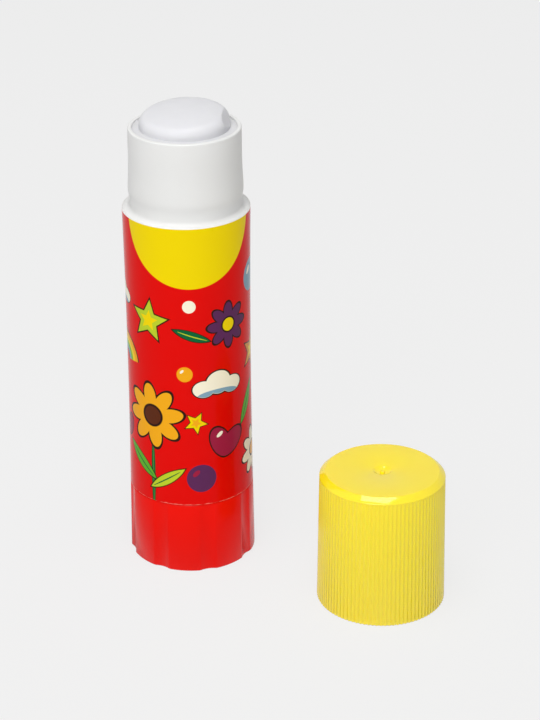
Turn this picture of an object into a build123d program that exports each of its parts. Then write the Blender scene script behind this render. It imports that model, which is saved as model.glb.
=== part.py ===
from build123d import *
from math import acos, atan, atan2, cos, pi, radians, sin, sqrt
import os

# A twist-up glue stick with its cap taken off and standing beside it, in millimetres.
# The stick stands on its twist knob, with its axis on Z and the front of its label towards -Y.
# Turning the knob turns the spindle, and the threaded carrier then climbs with the glue.

os.makedirs("parts", exist_ok=True)

# One overrun lets every cutting tool pass its surface cleanly.
overrun = 1.0

# Fits between pieces.
thrust_gap = 0.3          # end play of the spindle's flange under the barrel's floor
barb_gap = 0.2            # the same play above the floor, under the snap barb
journal_clearance = 0.06  # the spindle's journal in the hole of the floor
skirt_clearance = 0.2     # the barrel's spigot inside the knob's skirt
socket_clearance = 0.05   # the spindle's root in the knob's socket
thread_clearance = 0.15   # the carrier's thread round the spindle's ridge
carrier_clearance = 0.25  # the carrier in the bore, and its notches on the guide ribs
glue_clearance = 0.3      # the glue in the bore, and the spindle inside the glue
cast_gap = 0.04           # the glue on the carrier that it is cast into
label_gap = 0.02          # the label's adhesive
cap_clearance = 0.15      # the cap's lower bore round the collar's bead
neck_clearance = 0.1      # the cap's upper bore round the collar
press_gap = 0.02          # the seal pushed into the cap
plug_clearance = 0.15     # the seal's lip in the mouth of the barrel
seat_gap = 0.15           # play between the seated cap's inside and the rim

# Barrel: a thick tube under the label, and a thinner collar that the cap goes over.
tube_radius = 13.08       # at its two ends
tube_waist = 0.23         # how far it has shrunk in at mid length
tube_length = 62.8
tube_wall = 2.33          # at its ends, over the bore
collar_wall = 0.81
collar_length = 17.2
rim_rounding = 0.25
band_growth = 0.03        # the collar's lowest band, over the collar's own radius
ledge_rounding = 0.35
bead_growth = 0.25
bead_height = 4.6         # the bead's crown above the ledge
bead_crown = 0.5
bead_upper_slope = 1.5
bead_lower_slope = 1.2
floor_rise = 1.5          # the floor's underside above the tube's lower end
floor_thickness = 2.5
spigot_length = 7.5
spigot_wall = 1.2
guide_count = 4
guide_width = 1.2
guide_depth = 0.6
guide_stop = 11.0         # the guides end this far below the rim

# Label: a printed sleeve of film with its lap at the back.
label_thickness = 0.1
label_margin = 0.05       # from its edges to the ends of the tube
lap_width = 2.8

# Twist knob: a lobed cap under the barrel.
knob_height = 15.85
knob_gap = 0.1            # running gap between the knob and the barrel above it
knob_overhang = 0.12      # its crests at the seam, over the tube
knob_flare = 0.22
knob_wall = 1.3
knob_edge = 0.3
knob_plate = 1.8
lobe_count = 8
lobe_phase = 16.0         # degrees from +X to the first hollow
hollow_width = 4.6
hollow_depth_low = 0.48
hollow_depth_high = 0.2
shoulder_radius = 1.0
foot_width = 3.8          # the ring that it stands on, at the seam's radius
pad_radius = 5.5
recess_depth = 0.8
hub_radius = 6.2
web_count = 8
web_thickness = 0.9
web_drop = 2.5            # the webs' tops below the barrel's spigot

# Spindle: a left-hand screw, so that a turn to the left seen from above raises the glue.
spindle_across = 7.0      # across the flats of its six-sided root
root_rise = 2.2           # the root's lower end above the knob's plate
flange_radius = 6.6
flange_thickness = 1.5
journal_radius = 4.4
barb_growth = 0.5
barb_length = 1.5
thread_lead = 4.0
thread_core = 2.9
ridge_height = 0.8
ridge_root = 1.8
ridge_tip = 0.9
ridge_sink = 0.3          # how far the ridge's foot reaches into the core
thread_start = 1.8        # from the barb's tip to the thread
spindle_nose = 1.5
spindle_depth = 7.95      # its tip below the rim of the barrel

# Carrier: the cup that holds the glue and climbs the spindle.
carrier_rise = 9.5        # its underside above the barrel's floor, as photographed
carrier_lowest = 3.0      # the same at its lowest
carrier_height = 7.0
carrier_wall = 1.4
carrier_floor = 1.6
nut_wall = 1.75
nut_height = 9.0
rib_count = 4
rib_thickness = 1.0
rib_height = 3.0

# Glue: a cast stick with a domed tip, worn a little to one side, and one chipped corner.
tip_height = 3.75         # the tip's crown above the rim, as photographed
crown_radius = 33.0       # the ball that the crown is part of
crown_offset = 1.5        # the ball's centre is this far towards +X
tip_inset = 1.2           # from the full-width glue to the tip's side
tip_rounding = 2.0
shoulder_drop = 1.6       # the full-width glue ends this far below the rim
shoulder_length = 1.1
chip_drop = 0.6           # where the chip's upper edge is measured, below the crown
chip_reach = 1.7          # from the tip's side in to that edge
chip_direction = -14.0    # degrees from +X
chip_slope = 46.0         # degrees below level
rib_end_gap = 0.4

# Cap: a ribbed shell with a bevelled top edge, standing on its mouth.
cap_place_x = 39.9
cap_place_y = -22.9
cap_headroom = 12.1       # its height over the collar's length
cap_wall = 1.38           # over the lower bore, at the mouth
cap_top_wall = 1.29       # over the neck, where the ribs end
cap_bevel_height = 1.15   # the bevel round its top edge
cap_bevel_width = 1.45
cap_bevel_bulge = 0.1     # how far the bevel swells over a straight one
cap_roof = 1.5
cap_lip = 0.02            # the smooth edge stands this far over the ribs
cap_mouth_bevel = 0.3
cap_rib_count = 94
cap_rib_depth = 0.2
cap_rib_crest = 0.3
snap_depth = 0.2
snap_crown = 0.5
snap_slope = 0.6
dimple_radius = 2.0
dimple_depth = 0.7
gate_radius = 0.45
gate_height = 0.5

# Seal: a soft cup inside the cap, whose lip closes the mouth of the barrel.
plug_depth = 2.8
plug_wall = 0.7
seal_flange = 1.5
seal_wall = 0.9
seal_roof = 0.85

# Heights and radii that follow from the sizes above.
tube_bottom = knob_height + knob_gap
bore_radius = tube_radius - tube_wall
ledge_top = tube_bottom + tube_length
tube_middle = tube_bottom + tube_length / 2
waist_ball = ((tube_length / 2) ** 2 + tube_waist**2) / (2 * tube_waist)
rim_top = ledge_top + collar_length
collar_radius = bore_radius + collar_wall
band_radius = collar_radius + band_growth
bead_radius = collar_radius + bead_growth
floor_bottom = tube_bottom + floor_rise
floor_top = floor_bottom + floor_thickness
guide_top = rim_top - guide_stop
knob_top_radius = tube_radius + knob_overhang
foot_inner_radius = knob_top_radius - foot_width
skirt_inner = knob_top_radius - knob_wall
spigot_radius = skirt_inner - skirt_clearance
web_top = tube_bottom - spigot_length - web_drop
hub_top = floor_bottom - thrust_gap - flange_thickness
root_bottom = knob_plate + root_rise
barb_bottom = floor_top + barb_gap
barb_top = barb_bottom + barb_length
thread_bottom = barb_top + thread_start
ridge_radius = thread_core + ridge_height
spindle_top = rim_top - spindle_depth
thread_length = spindle_top - spindle_nose - thread_bottom
carrier_bottom = floor_top + carrier_rise
carrier_drop = carrier_rise - carrier_lowest
carrier_radius = bore_radius - carrier_clearance
cup_radius = carrier_radius - carrier_wall
cup_floor = carrier_bottom + carrier_floor
nut_radius = ridge_radius + thread_clearance + nut_wall
notch_radius = bore_radius - guide_depth - carrier_clearance
notch_width = guide_width + 2 * carrier_clearance
glue_radius = bore_radius - glue_clearance
tip_radius = glue_radius - tip_inset
crown_top = rim_top + tip_height
chip_distance = tip_radius - chip_reach
cap_bore = bead_radius + cap_clearance
neck_radius = collar_radius + neck_clearance
cap_mouth_radius = cap_bore + cap_wall
cap_top_radius = neck_radius + cap_top_wall
plug_radius = bore_radius - plug_clearance
plug_bottom = collar_length - plug_depth
cap_height = collar_length + cap_headroom
cap_rib_top = cap_height - cap_bevel_height
cap_roof_bottom = cap_height - cap_roof


def disc(radius, low, high):
    """An upright solid cylinder on the axis between two heights."""
    return extrude(Plane.XY.offset(low) * Circle(radius), amount=high - low)


def turned(outline):
    """A solid turned about Z from a closed outline of (radius, height) points."""
    section = make_face(Polyline(*[(r, 0, z) for r, z in outline], close=True))
    return revolve(section, axis=Axis.Z)


def waisted_side(proud, low, high):
    """An arc that stands proud of the waisted tube all along, between two heights."""
    centre = tube_radius - tube_waist + waist_ball
    ball = waist_ball - proud
    ends = [(centre - sqrt(ball**2 - (z - tube_middle) ** 2), 0, z) for z in (low, high)]
    return ThreePointArc(ends[0], (centre - ball, 0, tube_middle), ends[1])


def sleeve(inner, outer, low, high):
    """A sleeve round the waisted tube, between two distances from its surface."""
    inside = waisted_side(inner, low, high)
    outside = waisted_side(outer, low, high)
    section = make_face([inside, outside, Line(inside @ 0, outside @ 0), Line(inside @ 1, outside @ 1)])
    return revolve(section, axis=Axis.Z)


def around(shape, count, first=0):
    """Copies of a shape, evenly spaced about Z."""
    return [Rot(0, 0, first + 360 * number / count) * shape for number in range(count)]


def upright_slab(inner, outer, width, low, high):
    """A block that runs outwards along +X between two radii."""
    middle = Pos((inner + outer) / 2, 0, (low + high) / 2)
    return middle * Box(outer - inner, width, high - low)


def polar(radius, angle):
    """A flat point at a radius and an angle in radians."""
    return Vector(radius * cos(angle), radius * sin(angle))


def helix_ridge(core, crest, root, tip, low, length):
    """The ridge of the left-hand thread round a core, as one unbroken sweep."""
    path = Pos(0, 0, low) * Helix(pitch=thread_lead, height=length, radius=core, lefthand=True)
    across = Plane(origin=path @ 0, x_dir=(1, 0, 0), z_dir=path % 0)
    high = crest - core
    corners = [(-ridge_sink, -root / 2), (high, -tip / 2), (high, tip / 2), (-ridge_sink, root / 2)]
    tooth = across * make_face(Polyline(*corners, close=True))
    return sweep(tooth, path=path, is_frenet=True)


def barrel():
    """The tube with its floor, its spigot for the knob and its collar for the cap."""
    bead_mid = ledge_top + bead_height
    bead_low = bead_mid - bead_crown / 2
    bead_high = bead_mid + bead_crown / 2
    outline = [
        (tube_radius, ledge_top),
        (band_radius, ledge_top),
        (band_radius, bead_low - bead_lower_slope),
        (bead_radius, bead_low),
        (bead_radius, bead_high),
        (collar_radius, bead_high + bead_upper_slope),
        (collar_radius, rim_top),
        (bore_radius, rim_top),
        (bore_radius, floor_top),
        (journal_radius + journal_clearance, floor_top),
        (journal_radius + journal_clearance, floor_bottom),
        (spigot_radius - spigot_wall, floor_bottom),
        (spigot_radius - spigot_wall, tube_bottom - spigot_length),
        (spigot_radius, tube_bottom - spigot_length),
        (spigot_radius, tube_bottom),
        (tube_radius, tube_bottom),
    ]
    inside = Polyline(*[(r, 0, z) for r, z in outline])
    side = waisted_side(0, tube_bottom, ledge_top)
    tube = revolve(make_face([*inside.edges(), side]), axis=Axis.Z)
    rim_edges = tube.edges().filter_by(GeomType.CIRCLE).filter_by_position(Axis.Z, rim_top, rim_top)
    tube = fillet(rim_edges, rim_rounding)
    at_ledge = tube.edges().filter_by(GeomType.CIRCLE).filter_by_position(Axis.Z, ledge_top, ledge_top)
    tube = fillet(at_ledge.sort_by(SortBy.RADIUS)[0], ledge_rounding)
    guide_inner = bore_radius - guide_depth
    guide_outer = bore_radius + collar_wall / 2
    guide = upright_slab(guide_inner, guide_outer, guide_width, floor_top, guide_top)
    return tube + around(guide, guide_count)


def label():
    """The printed film round the tube, with its lap at the back."""
    low = tube_bottom + label_margin
    high = ledge_top - label_margin
    outer = label_gap + label_thickness
    film = sleeve(label_gap, outer, low, high)
    lap = sleeve(outer - label_thickness / 2, outer + label_thickness, low, high)
    strip = Pos(0, tube_radius, (low + high) / 2) * Box(lap_width, tube_radius, high - low)
    return film + (lap & strip)


def lobed_outline(crest, depth, height):
    """The knob's outline at one height: round crests, and shallow hollows with tangent shoulders."""
    slant = 2 * atan(depth / (hollow_width / 2))
    hollow = hollow_width / 2 / sin(slant) - shoulder_radius
    middle = crest - depth + hollow
    inside = crest - shoulder_radius
    reach = hollow + shoulder_radius
    spread = acos((middle**2 + inside**2 - reach**2) / (2 * middle * inside))
    pitch = 2 * pi / lobe_count
    edges = []
    for number in range(lobe_count):
        at = radians(lobe_phase) + number * pitch
        centre = polar(middle, at)
        ends = []
        for side in (-1, 1):
            shoulder = polar(inside, at + side * spread)
            join = centre + (shoulder - centre) * (hollow / reach)
            top = polar(crest, at + side * spread)
            between = shoulder + ((join + top) / 2 - shoulder).normalized() * shoulder_radius
            ends.append((join, between, top))
        before, after = ends
        edges.append(ThreePointArc(before[2], before[1], before[0]))
        edges.append(ThreePointArc(before[0], polar(crest - depth, at), after[0]))
        edges.append(ThreePointArc(after[0], after[1], after[2]))
        edges.append(ThreePointArc(after[2], polar(crest, at + pitch / 2), polar(crest, at + pitch - spread)))
    return Plane.XY.offset(height) * make_face(edges)


def hexagon(across, low, high):
    """A six-sided bar on the axis, measured across its flats."""
    side = RegularPolygon(radius=across / 2, side_count=6, major_radius=False)
    return extrude(Plane.XY.offset(low) * side, amount=high - low)


def twist_knob():
    """The knob: a lobed skirt on a plate, with webs and a hub for the spindle's root."""
    sections = [
        lobed_outline(knob_top_radius + knob_flare, hollow_depth_low, 0),
        lobed_outline(knob_top_radius, hollow_depth_high, knob_height),
    ]
    lobed = loft(sections, ruled=True)
    wide = knob_top_radius + knob_flare
    worn_edge = turned([(wide - knob_edge, 0), (wide + overrun, 0), (wide + overrun, knob_edge + overrun)])
    inside = disc(skirt_inner, knob_plate, knob_height + overrun)
    recess = disc(foot_inner_radius, -overrun, recess_depth) - disc(pad_radius, -overrun, recess_depth)
    shell = lobed - worn_edge - inside - recess
    hub = disc(hub_radius, knob_plate / 2, hub_top)
    web = upright_slab(hub_radius / 2, skirt_inner + knob_wall / 4, web_thickness, knob_plate / 2, web_top)
    socket_across = spindle_across + 2 * socket_clearance
    socket = hexagon(socket_across, root_bottom - socket_clearance, hub_top + overrun)
    return shell + hub + around(web, web_count, lobe_phase) - socket


def spindle():
    """The screw: six-sided root, thrust flange, journal, snap barb and a threaded rod."""
    rod = disc(thread_core, floor_top, spindle_top)
    rod = chamfer(rod.edges().sort_by(Axis.Z)[-1], spindle_nose)
    screw = rod + helix_ridge(thread_core, ridge_radius, ridge_root, ridge_tip, thread_bottom, thread_length)
    foot = turned([
        (0, hub_top),
        (flange_radius, hub_top),
        (flange_radius, hub_top + flange_thickness),
        (journal_radius, hub_top + flange_thickness),
        (journal_radius, barb_bottom),
        (journal_radius + barb_growth, barb_bottom),
        (thread_core + barb_growth, barb_top),
        (0, barb_top),
    ])
    return screw + foot + hexagon(spindle_across, root_bottom, hub_top + flange_thickness / 2)


def carrier():
    """The cup with a threaded boss, webs and notches for the barrel's guides."""
    cup = disc(carrier_radius, carrier_bottom, carrier_bottom + carrier_height)
    cup -= disc(cup_radius, cup_floor, carrier_bottom + carrier_height + overrun)
    cup += disc(nut_radius, carrier_bottom, carrier_bottom + nut_height)
    web_outer = cup_radius + carrier_wall / 2
    web = upright_slab(nut_radius / 2, web_outer, rib_thickness, cup_floor, cup_floor + rib_height)
    cup += around(web, rib_count, 180 / rib_count)
    notch = upright_slab(
        notch_radius, carrier_radius + overrun, notch_width,
        carrier_bottom - overrun, carrier_bottom + carrier_height + overrun,
    )
    cup -= around(notch, guide_count)
    hole_radius = thread_core + thread_clearance
    cup -= disc(hole_radius, carrier_bottom - overrun, carrier_bottom + nut_height + overrun)
    # The cutter starts whole turns above the spindle's own thread, so that the two are in step.
    turns = int((carrier_bottom - thread_bottom) / thread_lead)
    low = thread_bottom + (turns - 1) * thread_lead
    groove = helix_ridge(
        hole_radius, ridge_radius + thread_clearance, ridge_root + 2 * thread_clearance,
        ridge_tip + 2 * thread_clearance, low, nut_height + 2 * thread_lead,
    )
    return cup - groove


def glue_core():
    """The cast glue: it fills the carrier's cup and the bore, and its tip stands over the rim."""
    full_top = rim_top - shoulder_drop
    shoulder_top = full_top + shoulder_length
    bore = ridge_radius + glue_clearance
    over_nut = carrier_bottom + nut_height + cast_gap
    bore_top = spindle_top + carrier_drop + rib_end_gap
    over_cup = carrier_bottom + carrier_height + cast_gap
    inside = Polyline(
        (tip_radius, 0, shoulder_top),
        (tip_radius, 0, crown_top),
        (0, 0, crown_top),
        (0, 0, bore_top),
        (bore, 0, bore_top),
        (bore, 0, over_nut),
        (nut_radius + cast_gap, 0, over_nut),
        (nut_radius + cast_gap, 0, cup_floor),
        (cup_radius - cast_gap, 0, cup_floor),
        (cup_radius - cast_gap, 0, over_cup),
        (glue_radius, 0, over_cup),
        (glue_radius, 0, full_top),
    )
    shoulder = Spline(
        (glue_radius, 0, full_top),
        (tip_radius, 0, shoulder_top),
        tangents=[(0, 0, 1), (0, 0, 1)],
    )
    glue = revolve(make_face([*inside.edges(), shoulder]), axis=Axis.Z)
    # The tip is cut off by a large ball whose centre stands to one side, and its edge is rounded.
    above = disc(glue_radius, rim_top, crown_top + overrun)
    crown_ball = Pos(crown_offset, 0, crown_top - crown_radius) * Rot(90, 0, 0) * Sphere(crown_radius)
    glue -= above - crown_ball
    glue = fillet(glue.edges().sort_by(Axis.Z)[-1], tip_rounding)
    slot = upright_slab(
        nut_radius / 2, cup_radius + overrun, rib_thickness + 2 * cast_gap,
        cup_floor - overrun, cup_floor + rib_height + cast_gap,
    )
    glue -= around(slot, rib_count, 180 / rib_count)
    groove = upright_slab(
        notch_radius, glue_radius + overrun, notch_width,
        over_cup, guide_top + carrier_drop + rib_end_gap,
    )
    glue -= around(groove, guide_count)
    chip = Pos(chip_distance, 0, crown_top - chip_drop) * Rot(0, chip_slope, 0) * Pos(0, 0, tip_radius / 2)
    block = chip * Box(2 * tip_radius, 4 * tip_radius, tip_radius)
    return glue - Rot(0, 0, chip_direction) * block


def ribbed_outline(crest, height):
    """The cap's outline at one height: rounded ribs joined by tangent hollows."""
    half = pi / cap_rib_count
    inside = crest - cap_rib_crest
    bottom = crest - cap_rib_depth
    hollow = (cap_rib_crest**2 - inside**2 - bottom**2 + 2 * inside * bottom * cos(half)) / (
        2 * (bottom - inside * cos(half) - cap_rib_crest)
    )
    edges = []
    for number in range(cap_rib_count):
        at = 2 * half * number
        rib = polar(inside, at)
        joins = []
        for side in (-1, 1):
            centre = polar(bottom + hollow, at + side * half)
            joins.append(rib + (centre - rib) * (cap_rib_crest / (cap_rib_crest + hollow)))
        following = polar(joins[0].length, 2 * half * (number + 1) + atan2(joins[0].Y, joins[0].X) - at)
        edges.append(ThreePointArc(joins[0], polar(crest, at), joins[1]))
        edges.append(ThreePointArc(joins[1], polar(bottom, at + half), following))
    return Plane.XY.offset(height) * make_face(edges)


def cap_hollow():
    """The inside of the cap: a snap ring near the mouth, the lower bore and the neck above it."""
    snap_radius = cap_bore - snap_depth
    snap_high = bead_height - bead_crown / 2 - bead_lower_slope
    snap_low = snap_high - snap_crown - 2 * snap_slope
    step = plug_bottom - seat_gap
    return turned([
        (0, -overrun),
        (cap_bore, -overrun),
        (cap_bore, snap_low),
        (snap_radius, snap_low + snap_slope),
        (snap_radius, snap_high - snap_slope),
        (cap_bore, snap_high),
        (cap_bore, step),
        (neck_radius, step),
        (neck_radius, cap_roof_bottom),
        (0, cap_roof_bottom),
    ])


def cap_shell():
    """The cap: a ribbed, tapered shell with a smooth bevelled top and a moulding dimple."""
    sections = [ribbed_outline(cap_mouth_radius, 0), ribbed_outline(cap_top_radius, cap_rib_top)]
    skirt = loft(sections, ruled=True)
    lid_radius = cap_top_radius + cap_lip
    flat_radius = lid_radius - cap_bevel_width
    bulge = cap_bevel_bulge / sqrt(cap_bevel_height**2 + cap_bevel_width**2)
    bevel_middle = (
        flat_radius + cap_bevel_width / 2 + cap_bevel_height * bulge,
        0,
        cap_rib_top + cap_bevel_height / 2 + cap_bevel_width * bulge,
    )
    top_bevel = ThreePointArc((lid_radius, 0, cap_rib_top), bevel_middle, (flat_radius, 0, cap_height))
    roof_side = Polyline(
        (flat_radius, 0, cap_height), (0, 0, cap_height), (0, 0, cap_rib_top), (lid_radius, 0, cap_rib_top)
    )
    lid = revolve(make_face([top_bevel, *roof_side.edges()]), axis=Axis.Z)
    mouth_bevel = turned([
        (cap_mouth_radius - cap_mouth_bevel, 0),
        (cap_mouth_radius + overrun, 0),
        (cap_mouth_radius + overrun, cap_mouth_bevel + overrun),
    ])
    dimple_ball = (dimple_radius**2 + dimple_depth**2) / (2 * dimple_depth)
    dimple_bottom = cap_height - dimple_depth
    dimple = Pos(0, 0, dimple_bottom + dimple_ball) * Sphere(dimple_ball)
    gate = disc(gate_radius, dimple_bottom - cap_roof / 4, dimple_bottom + gate_height)
    gate = fillet(gate.edges().sort_by(Axis.Z)[-1], gate_radius / 2)
    shell = skirt + lid - mouth_bevel - cap_hollow() - dimple + gate
    return Pos(cap_place_x, cap_place_y, 0) * shell


def cap_seal():
    """The soft cup inside the cap, with a flange for the rim and a lip for the bore."""
    top = cap_roof_bottom
    flange_low = collar_length + seat_gap
    wall_radius = plug_radius - plug_wall + seal_wall
    cup = turned([
        (plug_radius - plug_wall, plug_bottom),
        (plug_radius, plug_bottom),
        (plug_radius, flange_low),
        (neck_radius - press_gap, flange_low),
        (neck_radius - press_gap, flange_low + seal_flange),
        (wall_radius, flange_low + seal_flange),
        (wall_radius, top),
        (0, top),
        (0, top - seal_roof),
        (plug_radius - plug_wall, top - seal_roof),
    ])
    return Pos(cap_place_x, cap_place_y, 0) * cup


pieces = {
    "barrel": barrel,
    "label": label,
    "twist_knob": twist_knob,
    "spindle": spindle,
    "carrier": carrier,
    "glue_core": glue_core,
    "cap_shell": cap_shell,
    "cap_seal": cap_seal,
}

for name, make in pieces.items():
    solid = make()
    export_step(solid, f"parts/{name}.step")
    print(name, round(solid.volume, 2))
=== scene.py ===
# %% [markdown]
# # A glue stick with its cap off
# A twist-up glue stick stands on its red knob, and its ribbed yellow cap stands beside it.
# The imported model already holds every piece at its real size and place. Here the pieces that show, and the
# seal in the cap, are modelled again with fine, smooth surfaces, and every piece gets the finish of the
# real moulding, film or glue. The screw and the carrier are hidden inside, so they keep their packed
# shapes and only get a material.

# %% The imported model
from math import acos, asin, atan, atan2, cos, degrees, pi, radians, sin, sqrt
import bpy
from mathutils import Matrix, Vector


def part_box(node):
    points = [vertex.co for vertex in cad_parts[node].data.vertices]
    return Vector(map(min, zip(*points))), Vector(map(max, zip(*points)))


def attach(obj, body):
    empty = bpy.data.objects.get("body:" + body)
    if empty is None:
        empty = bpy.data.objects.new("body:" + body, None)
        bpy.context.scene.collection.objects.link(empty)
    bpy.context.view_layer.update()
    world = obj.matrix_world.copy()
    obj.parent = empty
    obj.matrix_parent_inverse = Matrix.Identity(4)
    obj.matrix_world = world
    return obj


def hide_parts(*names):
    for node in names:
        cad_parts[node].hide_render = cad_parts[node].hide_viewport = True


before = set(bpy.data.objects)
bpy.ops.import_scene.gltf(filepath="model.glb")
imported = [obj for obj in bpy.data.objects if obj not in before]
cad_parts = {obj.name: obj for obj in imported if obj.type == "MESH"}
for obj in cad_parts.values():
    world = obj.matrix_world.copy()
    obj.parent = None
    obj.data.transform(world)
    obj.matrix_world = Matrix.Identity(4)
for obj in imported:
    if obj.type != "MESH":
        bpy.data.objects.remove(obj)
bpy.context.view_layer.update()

MM = 0.001

# %% [markdown]
# ## Sizes
# Blender works in metres, but a stick of glue is easier to think about in millimetres, so every size
# here is in millimetres and is turned to metres only where an operator needs it. The main heights and
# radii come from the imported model's own boxes, which keeps the new pieces on the old ones. The smaller
# sizes are written again where they are used.

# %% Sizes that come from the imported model
def corners(node):
    """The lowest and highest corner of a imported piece, in millimetres."""
    return [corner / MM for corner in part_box(node)]


barrel_low, barrel_high = corners("barrel")
label_low, label_high = corners("label")
glue_low, glue_high = corners("glue_core")
cap_low, cap_high = corners("cap_shell")
seal_bottom = corners("cap_seal")[0].z
knob_height = corners("twist_knob")[1].z
label_margin = 0.05
rim_top = barrel_high.z
tube_radius = barrel_high.x
tube_bottom = label_low.z - label_margin
ledge_top = label_high.z + label_margin
cap_height = cap_high.z
cap_centre = ((cap_low.x + cap_high.x) / 2, (cap_low.y + cap_high.y) / 2)
print("rim", round(rim_top, 2), "ledge", round(ledge_top, 2))
print("cap at", [round(side, 2) for side in cap_centre])

# %% [markdown]
# ## Rings
# Every piece here is round, and a round piece is quickly drawn as a potter would: start with one ring
# of edges, then extrude it from ring to ring, and resize each new ring to the radius of the outline.
# A spin of a drawn outline gives the same shape, but a ring can be bent into lobes or ribs first, and
# then every later ring follows it. The helpers below start a ring, draw it through an outline, close the
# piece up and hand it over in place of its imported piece.

# %% Start a ring, draw it through an outline, and finish the piece
def start_ring(name, sides, outline, centre=(0, 0), turn=0, closed=False):
    """Add the first ring of an outline in edit mode; a closed one is a fan that fills the ring."""
    radius, height = outline[0]
    bpy.ops.object.select_all(action="DESELECT")
    bpy.ops.mesh.primitive_circle_add(
        vertices=sides,
        radius=radius * MM,
        fill_type="TRIFAN" if closed else "NOTHING",
        location=(centre[0] * MM, centre[1] * MM, height * MM),
        rotation=(0, 0, radians(turn)),
    )
    piece = bpy.context.object
    piece.name = name
    piece.data.name = name
    bpy.ops.object.transform_apply(location=True, rotation=True, scale=True)
    bpy.ops.object.mode_set(mode="EDIT")
    bpy.ops.mesh.select_mode(type="VERT")
    bpy.ops.mesh.select_all(action="SELECT")
    if closed:
        bpy.ops.mesh.select_all(action="DESELECT")
        bpy.ops.mesh.select_non_manifold()
    return piece


def climb(outline, centre=(0, 0)):
    """Extrude the selected ring through an outline of (radius, height) points; radius 0 closes it."""
    for (radius, height), (next_radius, next_height) in zip(outline, outline[1:]):
        rise = (0, 0, (next_height - height) * MM)
        pivot = (centre[0] * MM, centre[1] * MM, next_height * MM)
        bpy.ops.mesh.extrude_region_move(TRANSFORM_OT_translate={"value": rise})
        if next_radius:
            share = next_radius / radius
            bpy.ops.transform.resize(value=(share, share, 1), center_override=pivot)
        else:
            bpy.ops.mesh.merge(type="CENTER")


def round_corner(radius, height, size, first, last, steps=5):
    """Points along a round corner: its centre, its size, and its two angles in degrees."""
    angles = [radians(first + (last - first) * step / steps) for step in range(steps + 1)]
    return [(radius + size * cos(angle), height + size * sin(angle)) for angle in angles]


def close_up():
    """Merge what meets, and point every face outwards."""
    bpy.ops.mesh.select_all(action="SELECT")
    bpy.ops.mesh.remove_doubles(threshold=0.001 * MM)
    bpy.ops.mesh.normals_make_consistent(inside=False)
    bpy.ops.object.mode_set(mode="OBJECT")


def pick(piece, kind, rule):
    """Select the faces or the vertices that a rule is true for, and nothing else, in edit mode."""
    bpy.ops.object.mode_set(mode="EDIT")
    bpy.ops.mesh.select_mode(type=kind)
    bpy.ops.mesh.select_all(action="DESELECT")
    bpy.ops.object.mode_set(mode="OBJECT")
    parts = piece.data.polygons if kind == "FACE" else piece.data.vertices
    for part in parts:
        part.select = rule(part)
    print("picked", sum(part.select for part in parts), "by", kind.lower(), "on", piece.name)
    bpy.ops.object.mode_set(mode="EDIT")


def finish_piece(piece, node, body, sharp=40):
    """Smooth a closed piece up to an angle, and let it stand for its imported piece."""
    bpy.ops.object.select_all(action="DESELECT")
    bpy.context.view_layer.objects.active = piece
    piece.select_set(True)
    bpy.ops.object.shade_smooth_by_angle(angle=radians(sharp))
    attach(piece, body)
    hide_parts(node)
    size = [round(side / MM, 2) for side in piece.dimensions]
    print(piece.name, "has", len(piece.data.polygons), "faces and measures", size, "mm")


# %% [markdown]
# ## Bending a ring
# The knob has hollows for the fingers and the cap has ribs. Both repeat round the axis, so the vertices
# of a ring fall into a few classes, each as far from the middle of the nearest hollow or rib. Each class
# is selected in code and resized to its own radius, which takes far fewer steps than one vertex at a time.

# %% Give the last ring a new radius for each class of vertex
def bend_ring(piece, height, centre, turn, count, rule):
    """Resize the vertices at a height so that their radius follows a rule of the folded angle."""
    bpy.ops.object.mode_set(mode="OBJECT")
    vertices = piece.data.vertices
    middle = Vector((centre[0] * MM, centre[1] * MM, height * MM))
    pitch = 2 * pi / count
    same_height = 0.0005 * MM
    off_axis = 0.1 * MM
    classes = {}
    for vertex in vertices:
        arm = vertex.co - middle
        level = abs(arm.z) < same_height and arm.length > off_axis
        if vertex.select and level:
            angle = Vector((1, 0)).angle_signed(arm.xy) * -1 - radians(turn)
            folded = abs((angle + pitch / 2) % pitch - pitch / 2)
            classes.setdefault(round(folded, 4), []).append(vertex.index)
    ring = [index for members in classes.values() for index in members]
    for folded, members in classes.items():
        for vertex in vertices:
            vertex.select = False
        for edge in piece.data.edges:
            edge.select = False
        for index in members:
            vertices[index].select = True
        share = rule(folded) * MM / (vertices[members[0]].co - middle).xy.length
        bpy.ops.object.mode_set(mode="EDIT")
        bpy.ops.transform.resize(value=(share, share, 1), center_override=middle)
        bpy.ops.object.mode_set(mode="OBJECT")
    for index in ring:
        vertices[index].select = True
    bpy.ops.object.mode_set(mode="EDIT")
    bpy.ops.mesh.select_mode(type="VERT")
    return len(classes)


# %% [markdown]
# ## The waisted side
# The tube is not quite straight. A thick wall shrinks as it cools, and most at mid length, so the tube's
# radius is nearly a quarter of a millimetre less there. The label follows it. A straight side could be
# pinched with a modifier, but here the curve is known, so one function gives the points of a side that
# stands a given distance proud of the tube.

# %% Points up the waisted side
tube_waist = 0.23
tube_middle = (tube_bottom + ledge_top) / 2
waist_ball = ((ledge_top - tube_bottom) ** 2 / 4 + tube_waist**2) / (2 * tube_waist)


def waisted(proud, low, high, steps=12):
    """Points up a side that stands proud of the tube, from one height to another."""
    centre = tube_radius - tube_waist + waist_ball
    points = []
    for step in range(steps + 1):
        height = low + (high - low) * step / steps
        points.append((centre - sqrt((waist_ball - proud) ** 2 - (height - tube_middle) ** 2), height))
    return points


print("waist", round(waisted(0, tube_bottom, ledge_top, 2)[1][0], 3), "ends", round(tube_radius, 3))

# %% [markdown]
# ## The barrel
# The barrel is one moulding of white polypropylene: a thick tube, which the label hides, and a thinner
# collar that the cap goes over. Near the foot of the collar a low bead catches the cap. The mouth and
# the ledge are a little rounded, and a round edge catches a line of light that a sharp one would miss.
# A bevel modifier would round every edge by one size, so the roundings are drawn in the outline instead.

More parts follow.
